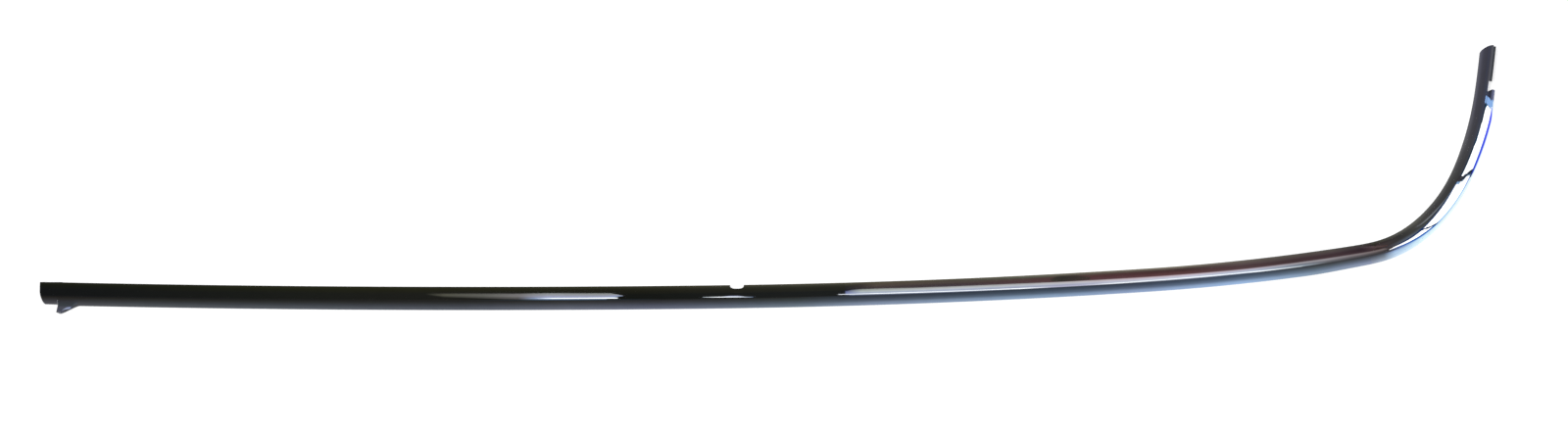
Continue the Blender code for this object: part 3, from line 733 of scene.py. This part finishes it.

# Painted reflections: glowing panels, coloured to paint the metal's highlights, reflected lines and shaded bands
PAINTED_REFLECTIONS = (
    # Mirrored by the crest and the bead
    PaintedReflection(
        "outer_sheet", "outer", 130, ((-60, 11), (1400, 11)), ((-60, -88), (1400, -88)),
        faded(
            (
                (0.05, (95, 95, 100)), (0.1, (100, 105, 110)), (0.29, (105, 110, 120)), (0.35, (125, 130, 145)),
                (0.4, (120, 125, 145)), (0.485, (130, 145, 160)),
            ),
            ((0.12, (0.11, 0.1, 0.08)), (0.26, (0.21, 0.2, 0.17)), (0.41, 0.35), (0.6, 0.6), (1.0, 1.0)),
        )
        + faded(
            ((0.53, (140, 155, 180)), (0.63, (145, 170, 200)), (0.68, (150, 170, 205)), (0.745, (165, 195, 235))),
            ((0.12, 0.12), (0.26, 0.19), (0.41, 0.34), (0.5, 0.58), (0.6, 0.83), (1.0, 1.0)),
        )
        + faded(
            ((0.79, (145, 165, 185)), (0.825, (155, 165, 190))),
            (
                (0.12, (0.14, 0.12, 0.1)), (0.26, (0.27, 0.26, 0.24)), (0.41, (0.45, 0.47, 0.49)),
                (0.5, (0.61, 0.62, 0.66)), (0.6, (0.79, 0.8, 0.83)), (1.0, 1.0),
            ),
        )
        + faded(
            ((0.935, (105, 110, 140)), (0.965, (105, 110, 140)), (0.985, (95, 100, 115)), (1.0, (65, 65, 65))),
            ((0.12, 0.3), (0.26, 0.2), (0.34, 0.22), (0.41, 0.35), (0.5, 0.6), (0.6, 1.0)),
        ),
    ),
    PaintedReflection(
        "rim_light", "outer", 127,
        ((1140, -10), (1160, -12), (1180, -24), (1197, -32), (1244, -38), (1304, -46)), ((1140, -88), (1304, -88)),
        faded(((0.0, (160, 170, 190)), (0.06, (175, 190, 210))), ((0.0, 0.2), (0.2, 0.42), (0.5, 0.8), (1.0, 1.0)))
        + faded(
            ((0.11, (205, 225, 245)), (0.17, (220, 240, 255))),
            ((0.0, (0.35, 0.4, 0.6)), (0.2, (0.7, 0.8, 0.9)), (0.5, (0.9, 0.95, 1.0)), (1.0, 1.0)),
        )
        + faded(((0.25, (225, 250, 255)), (0.4, (240, 255, 255))), ((0.0, (0.7, 0.8, 1.0)), (0.35, 1.0)))
        + lengthwise((1.0, (220, 240, 255))),
    ),
    # Painted reflection of a bright window; its edge and corner are painted by later panels
    PaintedReflection(
        "window", "outer", 68, ((1153, 11), (1300, 11)),
        (
            (1153, 10), (1156, 2), (1160, -4), (1170, -12), (1180, -18), (1197, -28), (1240, -39), (1270, -42),
            (1290, -46), (1300, -50),
        ),
        lengthwise((0.0, WHITE)),
    ),
    PaintedReflection(
        "crest_light", "outer", 1.4, ((1155, 33), (1301, 33)), ((1155, 10), (1301, 10)),
        lengthwise(
            (0.198, WHITE), (0.202, BAR_BLUE), (0.218, BAR_BLUE), (0.222, WHITE), (0.537, WHITE), (0.541, BAR_DARK),
            (0.575, BAR_DARK), (0.579, WHITE), (0.88, WHITE), (0.895, DEEP_TEAL),
        ),
    ),
    PaintedReflection(
        "blue_line", "outer", 67,
        ((1155, 5), (1163, -1), (1170, -7), (1180, -13.5), (1190, -21.5), (1197, -27), (1204, -31), (1240, -37)),
        ((1155, -4), (1163, -11), (1170, -19.5), (1180, -28), (1190, -34), (1197, -37), (1204, -38), (1240, -44)),
        lengthwise((0.0, (65, 70, 90)))
        + faded(
            ((0.1, (130, 165, 220)), (0.3, (150, 200, 250)), (0.46, (140, 195, 245))),
            ((0.0, (0.35, 0.45, 0.65)), (0.3, (0.07, 0.18, 0.45)), (0.6, (0.14, 0.3, 0.6)), (1.0, 1.0)),
        )
        + (
            (0.56, ((0.0, (120, 190, 250)), (1.0, (170, 220, 255)))),
            (0.85, ((0.0, (120, 190, 250)), (1.0, (150, 200, 250)))),
        )
        + lengthwise((1.0, (60, 90, 200))),
    ),
    PaintedReflection(
        "violet_line", "outer", 66, ((1240, -37), (1246, -36), (1270, -38.5), (1290, -40.5), (1299, -48)),
        ((1240, -50), (1246, -58), (1270, -66), (1290, -70), (1299, -60)),
        (
            (0.0, ((0.0, (35, 40, 80)),)),
            (0.16, ((0.0, (90, 140, 240)), (0.25, (45, 70, 205)), (0.8, (75, 95, 240)), (1.0, (170, 180, 255)))),
            (0.9, ((0.0, (150, 160, 250)), (0.25, (75, 80, 245)), (0.8, (90, 95, 250)), (1.0, (180, 185, 255)))),
            (1.0, ((0.0, (150, 170, 250)),)),
        ),
    ),
    PaintedReflection(
        "thin_bar", "outer", 65, ((1183.5, 11), (1188, -11), (1195, -30)), ((1186.5, 11), (1190.8, -11), (1199, -32)),
        lengthwise((0.0, (30, 50, 90))),
    ),
    PaintedReflection(
        "bent_bar", "outer", 64, ((1232, 11), (1233.5, -1), (1235, -9), (1238.5, -15), (1240, -22), (1241, -40)),
        ((1239, 11), (1240.5, -1), (1241.5, -9), (1243, -15), (1244.5, -22), (1247, -40)),
        crosswise((0.0, (130, 170, 205)), (0.3, (40, 50, 65)), (0.8, (30, 40, 55)), (1.0, (60, 85, 120))),
    ),
    PaintedReflection(
        "window_corner", "outer", 63, ((1278, 11), (1301.5, 11)), ((1278, 10), (1290, 5), (1298, -3), (1301.5, -16)),
        crosswise((0.0, DEEP_TEAL), (1.0, TEAL)),
    ),
    PaintedReflection(
        "tongue_strip", "outer", 62, ((1317, 11), (1360, 11)), ((1317, -30), (1360, -30)),
        crosswise((0.0, (100, 100, 105)), (0.15, (90, 90, 100)), (0.3, (75, 80, 85)), (0.5, (50, 50, 55))),
    ),
    PaintedReflection(
        "nose_light", "outer", 61, ((1301.5, 11), (1307.5, 11)), ((1299, -66), (1305, -66)),
        lengthwise((0.0, NOSE_BLUE)),
    ),
    PaintedReflection(
        "crest_shade", "outer", 1.4, ((-60, 33), (1154, 33)), ((-60, 10), (1154, 10)),
        lengthwise(
            (0.05, (25, 25, 30)), (0.35, (40, 40, 40)), (0.43, (50, 70, 85)), (0.49, (30, 30, 30)),
            (0.58, (40, 40, 40)), (0.64, (50, 60, 75)), (0.74, (80, 90, 110)), (0.82, (105, 115, 130)),
            (0.9, (100, 115, 140)), (0.95, (75, 80, 85)), (1.0, (60, 55, 55)),
        ),
    ),
    # Mirrored by the ear
    PaintedReflection(
        "ear_sheet", "ear", 3, ((15.4, -17.15), (33, -17.15)), ((13, -19.7), (33, -19.7)),
        (
            (0.0, ((0.0, (50, 50, 55)), (0.25, (60, 65, 70)), (0.35, (80, 80, 90)), (1.0, (70, 75, 95)))),
            (
                0.8,
                (
                    (0.0, (50, 50, 55)), (0.25, (60, 65, 70)), (0.35, (75, 80, 90)), (0.55, (60, 65, 85)),
                    (1.0, (50, 55, 75)),
                ),
            ),
        ),
    ),
    PaintedReflection(
        "ear_light", "ear", 2.8, ((20, -18.25), (23.5, -17.94), (28, -17.85)),
        ((20, -18.85), (23.5, -18.7), (28, -18.2)),
        (
            (0.0, ((0.0, (85, 85, 95)),)),
            (0.3, ((0.0, (85, 90, 110)), (0.35, (170, 180, 210)), (0.7, (190, 200, 225)), (1.0, (55, 60, 90)))),
            (0.75, ((0.0, (75, 80, 105)), (0.4, (160, 170, 205)), (0.7, (120, 130, 165)), (1.0, (45, 50, 80)))),
            (1.0, ((0.0, (65, 70, 85)),)),
        ),
    ),
    PaintedReflection(
        "ear_tip", "ear tip", 1.5, ((12, -30), (26, -30)), ((12, -88), (26, -88)),
        crosswise((0.0, (80, 80, 90)), (1.0, (95, 100, 110))),
    ),
    # Mirrored by the round inner edge
    PaintedReflection(
        "inner_edge", "edge", 1.4, ((-60, 4.4), (1400, 4.4)), ((-60, 88), (1400, 88)),
        lengthwise(
            (0.05, (35, 35, 25)), (0.25, (45, 45, 35)), (0.4, (55, 55, 40)), (0.5, (80, 75, 60)),
            (0.62, (110, 105, 90)), (0.71, (135, 130, 115)), (0.75, (105, 100, 95)), (0.82, (65, 65, 60)),
            (0.86, (100, 100, 95)), (0.95, (100, 100, 105)),
        ),
    ),
    # Mirrored by the flange and the hollow
    PaintedReflection(
        "inner_sheet", "inner", 110, ((-60, 2), (1400, 2)), ((-60, 34.4), (1400, 34.4)),
        faded(
            ((0.05, (33, 35, 27)), (0.2, (42, 44, 30)), (0.29, (46, 46, 32))),
            ((0.06, 1.0), (0.1, 0.66), (0.2, (0.5, 0.5, 0.8))),
        )
        + faded(
            ((0.39, (60, 60, 47)), (0.49, (75, 75, 64))),
            ((0.06, 1.0), (0.09, 0.5), (0.14, 0.3), (0.25, (0.18, 0.2, 0.27))),
        ),
    ),
    PaintedReflection(
        "leg_flange", "inner", 60, ((1144, 2), (1400, 2)), ((1158, 34.4), (1400, 34.4)),
        (
            (0.0, ((0.06, (65, 65, 55)), (0.11, (50, 40, 40)), (0.17, (70, 60, 60)), (0.25, (60, 50, 50)))),
            (0.08, ((0.06, (85, 85, 80)), (0.12, (50, 50, 50)), (0.25, (55, 55, 55)), (1.0, (110, 125, 145)))),
        )
        + faded(
            (
                (0.15, (100, 100, 95)), (0.225, (90, 90, 90)), (0.31, (90, 90, 90)), (0.47, (100, 100, 105)),
                (0.57, (95, 95, 105)), (0.8, (95, 95, 110)),
            ),
            ((0.06, 1.0), (0.09, 0.77), (0.14, 0.5), (0.22, 0.43), (1.0, (0.42, 0.5, 0.65))),
        ),
    ),
    PaintedReflection(
        "grey_wedge", "inner", 58, ((1181, 7.4), (1190, 8.2), (1205, 8.9), (1226, 14.3)),
        ((1181, 7.8), (1190, 11.6), (1205, 14.8), (1226, 16.4)),
        (
            (0.0, ((0.0, (75, 75, 80)),)),
            (0.25, ((0.0, (90, 90, 90)), (0.5, (130, 135, 140)), (1.0, (95, 100, 105)))),
            (0.6, ((0.0, (90, 90, 100)), (0.5, (110, 120, 130)), (1.0, (90, 100, 110)))),
            (1.0, ((0.0, (70, 80, 90)),)),
        ),
    ),
    PaintedReflection(
        "window_edge", "inner", 58,
        (
            (1154, 33), (1160, 31), (1184, 32.5), (1192, 29), (1203, 26), (1228, 18.7), (1241, 26.5), (1270, 32.5),
            (1284, 34),
        ),
        ((1154, 34.4), (1284, 34.4)),
        lengthwise((0.0, WHITE)),
    ),
    PaintedReflection(
        "dark_line", "inner", 57,
        (
            (1163, 25), (1184, 25), (1192, 22.5), (1203, 19), (1228, 14), (1241, 20.5), (1270, 26.5), (1284, 29),
            (1303, 32),
        ),
        (
            (1163, 31.3), (1184, 32.5), (1192, 29), (1203, 26), (1228, 18.7), (1241, 26.5), (1270, 32.5),
            (1284, 34.4), (1303, 34.5),
        ),
        (
            (0.0, ((0.0, (55, 65, 85)), (0.4, (30, 50, 95)))),
            (0.3, ((0.0, (60, 65, 80)), (0.4, (35, 60, 100)), (1.0, (60, 95, 145)))),
            (0.45, ((0.0, (60, 70, 95)), (1.0, (80, 115, 165)))),
            (0.55, ((0.0, (40, 50, 65)), (0.5, DEEP_TEAL), (1.0, TEAL))),
        ),
    ),
    PaintedReflection(
        "nose_foot", "inner", 56, ((1301.5, 28), (1307.5, 28)), ((1301.5, 34.4), (1307.5, 34.4)),
        lengthwise((0.0, NOSE_BLUE)),
    ),
    PaintedReflection(
        "bar_light", "inner", 56, ((1230, 19), (1234, 19)), ((1231, 34.4), (1235, 34.4)),
        lengthwise((0.0, (130, 165, 205))),
    ),
    PaintedReflection(
        "bar_foot", "inner", 55, ((1232, 13), (1237.5, 13)), ((1233.5, 34.4), (1238.5, 34.4)),
        crosswise((0.0, (60, 55, 55)), (1.0, (45, 50, 60))),
    ),
    PaintedReflection(
        "thin_bar_foot", "inner", 55, ((1181.5, 24), (1185.5, 24)), ((1184, 34.4), (1187, 34.4)),
        lengthwise((0.0, BAR_BLUE)),
    ),
    PaintedReflection(
        "tongue_line", "inner", 56, ((1317, 22), (1360, 22)), ((1317, 34.4), (1360, 34.4)),
        crosswise((0.0, (65, 65, 70)), (0.33, (70, 70, 80)), (0.56, (80, 80, 90)), (0.8, (95, 95, 100))),
    ),
    # Painted reflection: a reddish grey streak on the flange in the bend
    PaintedReflection(
        "bend_reflected_streak", "inner", 57, ((1133, 4.9), (1142, 6.6), (1150, 8.0), (1155, 9.6)),
        ((1133, 5.3), (1142, 7.3), (1150, 9.2), (1155, 12)),
        lengthwise((0.0, (70, 65, 65)), (0.2, (90, 80, 80)), (0.7, (90, 70, 70)), (1.0, (85, 60, 55))),
    ),
    PaintedReflection(
        "flange_right", "inner", 108, ((690, 2), (1140, 2)), ((690, 17), (1152, 17)),
        (
            (0.0, ((0.13, (75, 75, 60)), (0.25, (45, 45, 40)), (0.42, (35, 35, 40)))),
            (0.03, ((0.13, (80, 75, 60)), (0.2, (60, 55, 50)), (0.42, (50, 45, 50)))),
        )
        + faded(
            ((0.06, (80, 75, 60)), (0.2, (75, 70, 60))),
            ((0.13, 1.0), (0.25, (1.1, 1.0, 1.2)), (0.36, (0.7, 0.6, 0.95)), (0.46, (1.0, 0.95, 1.5))),
        )
        + faded(
            ((0.33, (110, 115, 100)), (0.48, (115, 105, 95))),
            ((0.13, 1.0), (0.19, 0.5), (0.25, (0.5, 0.3, 0.35)), (0.36, (0.5, 0.25, 0.36)), (0.7, (0.85, 0.6, 0.85))),
        )
        + (
            (
                0.64,
                (
                    (0.13, (135, 125, 115)), (0.19, (80, 70, 65)), (0.28, (65, 45, 45)), (0.42, (90, 60, 60)),
                    (0.7, (110, 85, 90)),
                ),
            ),
        )
        + faded(
            ((0.75, (105, 98, 90)), (0.84, (90, 85, 78)), (0.93, (88, 82, 78)), (0.98, (70, 65, 65))),
            (
                (0.13, 1.0), (0.19, (0.8, 0.75, 0.8)), (0.27, (0.72, 0.6, 0.72)), (0.36, (0.52, 0.36, 0.47)),
                (0.75, (0.85, 0.6, 0.75)),
            ),
        )
        + ((1.0, ((0.13, (65, 60, 55)), (0.25, (45, 35, 40)), (0.34, (80, 65, 70)), (0.6, (65, 50, 45)))),),
    ),
    # Painted reflection: a darker patch across the flange's band
    PaintedReflection(
        "flange_dark_reflection", "inner", 106, ((866, 6.6), (872, 5.2), (888, 5.2), (900, 7)),
        ((866, 8), (872, 9.4), (888, 9.4), (900, 9)),
        lengthwise((0.0, (60, 55, 50)), (0.3, (50, 48, 44)), (1.0, (65, 55, 52))),
    ),
    PaintedReflection(
        "band_left", "inner", 105, ((330, 8.25), (490, 8.25), (495, 10), (500, 16)),
        ((330, 9), (345, 20), (400, 30.5), (425, 33), (486, 33), (493, 22), (500, 17)),
        lengthwise((0.0, (30, 30, 27)))
        + faded(
            ((0.1, (85, 85, 75)), (0.3, (100, 100, 95)), (0.47, (122, 120, 120))),
            ((0.0, 0.8), (0.3, 1.0), (0.6, 0.62), (0.85, 0.42), (1.0, 0.25)),
        )
        + faded(
            ((0.62, (155, 165, 205)), (0.85, (150, 160, 195))),
            (
                (0.0, (0.88, 0.8, 0.5)), (0.3, (1.05, 0.95, 0.75)), (0.6, 1.0), (0.85, (0.8, 0.95, 0.9)),
                (1.0, (0.16, 0.24, 0.24)),
            ),
        ),
    ),
    PaintedReflection(
        "line_left", "inner", 103, ((413, 24.4), (495, 24)), ((413, 27.5), (495, 28.6)),
        lengthwise((0.0, (100, 95, 95)), (0.14, (150, 170, 200)), (0.32, (*LINE, 1.5))),
    ),
    PaintedReflection(
        "notch_line", "inner", 103, ((568, 25.5), (590, 25.5), (611, 28)), ((568, 28), (590, 29), (611, 31)),
        lengthwise((0.0, (160, 170, 180)), (0.3, (*LINE, 1.3)), (0.75, (235, 245, 255)), (1.0, (110, 130, 165))),
    ),
    PaintedReflection(
        "notch_glow", "inner", 105, ((584, 26), (590, 21.5), (598, 21.5), (604, 26)), ((584, 26.2), (604, 26.2)),
        crosswise((0.0, (90, 100, 140)), (1.0, (235, 240, 255))),
    ),
    PaintedReflection(
        "band_right", "inner", 104,
        (
            (690, 11), (696, 8.3), (740, 8.4), (780, 8.75), (840, 9.1), (880, 10.5), (980, 11.2), (1030, 12.4),
            (1090, 11.5), (1115, 12.4), (1135, 13.6), (1153, 18),
        ),
        ((690, 30), (696, 33.5), (1100, 33.5), (1157, 34.4)),
        (
            (0.0, ((0.0, (60, 65, 110)), (0.5, (120, 130, 180)), (1.0, (80, 90, 110)))),
            (0.03, ((0.0, (150, 155, 150)), (0.25, (180, 190, 190)), (0.68, (155, 165, 195)), (1.0, (60, 70, 85)))),
        )
        + faded(
            ((0.2, (192, 197, 202)), (0.33, (187, 190, 195)), (0.42, (195, 192, 197))),
            (
                (0.0, (0.64, 0.6, 0.57)), (0.25, 1.0), (0.47, (0.85, 0.9, 1.03)), (0.68, (0.66, 0.7, 0.9)),
                (0.9, (0.68, 0.72, 0.89)), (1.0, (0.2, 0.25, 0.35)),
            ),
        )
        + faded(
            ((0.53, (195, 200, 215)), (0.64, (197, 204, 222)), (0.75, (178, 190, 210))),
            (
                (0.0, (0.54, 0.33, 0.3)), (0.17, (0.98, 0.78, 0.73)), (0.4, (1.05, 0.95, 0.95)), (0.6, 1.0),
                (0.9, 0.93), (1.0, (0.3, 0.34, 0.4)),
            ),
        )
        + (
            (
                0.84,
                (
                    (0.0, (130, 120, 125)), (0.25, (158, 155, 160)), (0.6, (100, 110, 125)), (0.85, (160, 170, 180)),
                    (1.0, (130, 145, 160)),
                ),
            ),
        )
        + faded(
            ((0.885, (155, 150, 155)), (0.94, (135, 125, 128)), (0.98, (125, 113, 113)), (1.0, (123, 110, 108))),
            (
                (0.0, (0.45, 0.4, 0.42)), (0.2, 1.0), (0.4, (0.86, 0.88, 0.9)), (0.6, (0.52, 0.55, 0.57)),
                (1.0, (0.28, 0.32, 0.34)),
            ),
        ),
    ),
    PaintedReflection(
        "line_right", "inner", 102,
        (
            (684, 24.6), (740, 25.5), (780, 27.2), (840, 28.4), (930, 28.4), (980, 26.7), (1030, 27.8),
            (1070, 30.4), (1082, 31.4),
        ),
        (
            (684, 27.6), (740, 29), (780, 30.7), (840, 31.9), (930, 31.9), (980, 30.7), (1030, 31.3), (1070, 33.3),
            (1082, 32),
        ),
        lengthwise(
            (0.0, (235, 240, 250)), (0.08, (*LINE, 1.35)), (0.4, (*LINE, 1.2)), (0.46, (185, 185, 210)),
            (0.53, (185, 185, 210)), (0.6, (*LINE, 1.1)), (0.9, (*LINE, 1.35)), (1.0, (200, 210, 215)),
        ),
    ),
)


POINT_EVERY = 5.0  # Distance between a sheet's points along the strip, in mm
POINTS_ACROSS = 81
SENSOR = 36.0  # Width of the camera's sensor, in mm


class MOULDING_OT_stage(bpy.types.Operator):
    """Makes the pale floor, the light, the glowing sheets that paint the metal's reflections, and the camera"""

    bl_idname = "moulding.stage"
    bl_label = "Stage"

    def execute(self, context):
        self.floor(context.scene.moulding_stage)
        self.sheets(context)
        self.light(context)
        self.camera(context)
        return {"FINISHED"}

    def floor(self, stage):
        """A flat square, just under the strip: x and y go from minus to plus its half size. It glows a little.

        The glow is only for the camera and for mirrors, so the strip isn't lit by it.
        """
        side = np.linspace(-stage.floor_half, stage.floor_half, 9)
        x, y = np.meshgrid(side, side, indexing="ij")
        points = np.stack([x, y, np.full(x.shape, -stage.floor_gap)], axis=-1)[:, ::-1]
        make = Nodes("pale_floor")
        make.set(make.shader, "Base Color", (*stage.floor, 1.0))
        make.set(make.shader, "Roughness", 0.9)
        make.set(make.shader, "Specular IOR Level", 0.0)
        path = make.add("ShaderNodeLightPath").outputs
        seen = make.add("ShaderNodeMath", {0: path["Is Camera Ray"], 1: path["Is Glossy Ray"]}, operation="ADD")
        seen = make.add("ShaderNodeMath", {0: seen.outputs[0], 1: path["Is Transmission Ray"]}, operation="ADD")
        lift = make.add("ShaderNodeMath", {0: seen.outputs[0], 1: stage.floor_glow}, operation="MULTIPLY").outputs[0]
        make.set(make.shader, "Emission Color", (1.0, 1.0, 1.0, 1.0))
        make.set(make.shader, "Emission Strength", lift)
        make.material.cycles.emission_sampling = "NONE"
        whole = np.ones((len(side) - 1, len(side) - 1), bool)
        place_in_scene("floor", grid_mesh("floor", points, whole), make.material)

    def sheets(self, context):
        """Each sheet is a surface between two edges, set where the camera sees it mirrored at these stations."""
        # The sheets glow, though they are no lamps, in colours that paint the metal's reflections
        scene = context.scene
        for name, piece, distance, first, second, columns in PAINTED_REFLECTIONS:
            long = first[-1][0] - first[0][0]
            part = np.linspace(0, 1, max(13, round(long / POINT_EVERY)))
            sides = []
            for edge in (first, second):
                station, slope = np.array(edge, float).T
                spread = (station - station[0]) / (station[-1] - station[0])
                sides.append((np.interp(part, spread, station) / 1000, np.radians(np.interp(part, spread, slope))))
            across = np.linspace(0, 1, POINTS_ACROSS)[None]
            stations, slopes = (one[:, None] * (1 - across) + two[:, None] * across for one, two in zip(*sides))
            points = mirrored(piece, stations, slopes, distance / 1000, scene)
            spots = np.stack([part[:, None] + 0 * across, across + 0 * part[:, None]], axis=-1)
            mesh = grid_mesh(name, points, np.ones((len(part) - 1, POINTS_ACROSS - 1), bool), spots, "sheet")
            make = Nodes(name)
            make.tree.nodes.remove(make.shader)
            shine = make.add("ShaderNodeEmission", {"Color": shades(make, columns)})
            make.tree.links.new(shine.outputs["Emission"], make.output.inputs["Surface"])
            make.material.cycles.emission_sampling = "NONE"
            only_mirrored(place_in_scene(name, mesh, make.material))

    def light(self, context):
        """A wide lamp overhead and an even pale surround. The metal doesn't mirror the lamp."""
        stage = context.scene.moulding_stage
        lamp = bpy.data.lights.new("soft_lamp", "AREA")
        lamp.shape = "RECTANGLE"
        lamp.size, lamp.size_y = stage.lamp_length, stage.lamp_width
        lamp.energy = stage.lamp
        holder = bpy.data.objects.new("soft_lamp", lamp)
        holder.location = stage.lamp_place
        holder.rotation_euler = holder.location.to_track_quat("Z", "Y").to_euler()
        holder.visible_glossy = False
        holder.visible_camera = False
        context.scene.collection.objects.link(holder)
        world = bpy.data.worlds.new("pale_surround")
        world.use_nodes = True
        world.node_tree.nodes["Background"].inputs["Color"].default_value = (1.0, 1.0, 1.0, 1.0)
        world.node_tree.nodes["Background"].inputs["Strength"].default_value = stage.sky
        context.scene.world = world

    def camera(self, context):
        """A long lens straight above, as wide as the photograph's frame at the height of the strip."""
        stage = context.scene.moulding_stage
        lens = bpy.data.cameras.new("camera")
        lens.sensor_fit = "HORIZONTAL"
        lens.sensor_width = SENSOR
        lens.lens = SENSOR * (stage.camera_height - stage.picture_height) / stage.picture_width
        lens.clip_start, lens.clip_end = 0.05, 50.0
        camera = bpy.data.objects.new("camera", lens)
        camera.location = camera_place(stage)
        context.scene.collection.objects.link(camera)
        context.scene.camera = camera
        context.scene.view_settings.view_transform = "Standard"


@functools.cache
def strip_middle():
    """How far the finished strip was moved to lie in the middle of its own box."""
    scene = bpy.context.scene
    points, station, rows, present = strip_surface(scene.moulding_section, scene.moulding_path, scene.moulding_ends)
    used = np.zeros(points.shape[:2], bool)
    for near in (slice(None, -1), slice(1, None)):
        used[near, :-1] |= present
        used[near, 1:] |= present
    spots = points[used]
    return (spots.min(axis=0) + spots.max(axis=0)) / 2


class MOULDING_PT_panel(bpy.types.Panel):
    """Lists the moulding's operators and sizes"""

    bl_label = "Side moulding"
    bl_idname = "MOULDING_PT_panel"
    bl_space_type = "VIEW_3D"
    bl_region_type = "UI"
    bl_category = "Moulding"

    def draw(self, context):
        column = self.layout.column(align=True)
        for operator in OPERATORS:
            column.operator(operator.bl_idname)
        for name, group in GROUPS.items():
            box = self.layout.box()
            box.label(text=group.__doc__)
            for key in group.__annotations__:
                box.prop(getattr(context.scene, name), key)


OPERATORS = (MOULDING_OT_strip, MOULDING_OT_stage)
GROUPS = {
    "moulding_section": SectionSizes,
    "moulding_path": PathSizes,
    "moulding_ends": EndSizes,
    "moulding_finish": FinishSettings,
    "moulding_stage": StageSettings,
}


def register():
    for kind in (*GROUPS.values(), *OPERATORS, MOULDING_PT_panel):
        bpy.utils.register_class(kind)
    for name, group in GROUPS.items():
        setattr(bpy.types.Scene, name, PointerProperty(type=group))


def unregister():
    for name in GROUPS:
        delattr(bpy.types.Scene, name)
    for kind in (MOULDING_PT_panel, *reversed(OPERATORS), *reversed(GROUPS.values())):
        bpy.utils.unregister_class(kind)


def main():
    register()
    bpy.ops.moulding.strip()
    bpy.ops.moulding.stage()


if __name__ == "__main__":
    main()
